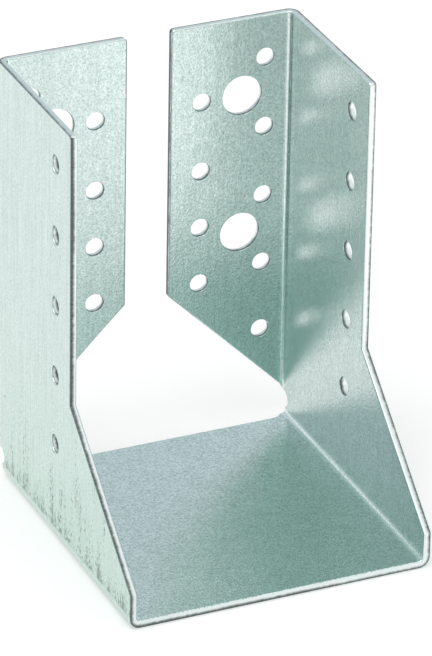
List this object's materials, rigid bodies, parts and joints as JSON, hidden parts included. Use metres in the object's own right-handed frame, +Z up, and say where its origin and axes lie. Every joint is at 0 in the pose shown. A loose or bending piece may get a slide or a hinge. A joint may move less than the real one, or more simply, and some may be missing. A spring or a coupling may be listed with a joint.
{
  "type": "joist hanger",
  "caption": "Joist hanger folded from one galvanised steel sheet: a base seat, side plates with a slanted front, and back wings turned inwards, punched for nails and bolts.",
  "frame": {"origin": "middle of the hanger's box, on the underside of the base plate", "axes": "+Z up, +Y towards the header (the wings' back faces), +X to the right seen from the joist's side"},
  "size_m": [0.084, 0.09, 0.12],
  "materials": {
    "zinc_sheet": "hot-dip galvanised, satin, with a fine speckle"
  },
  "bodies": {
    "root": {"hanger": "zinc_sheet"}
  },
  "joints": []
}
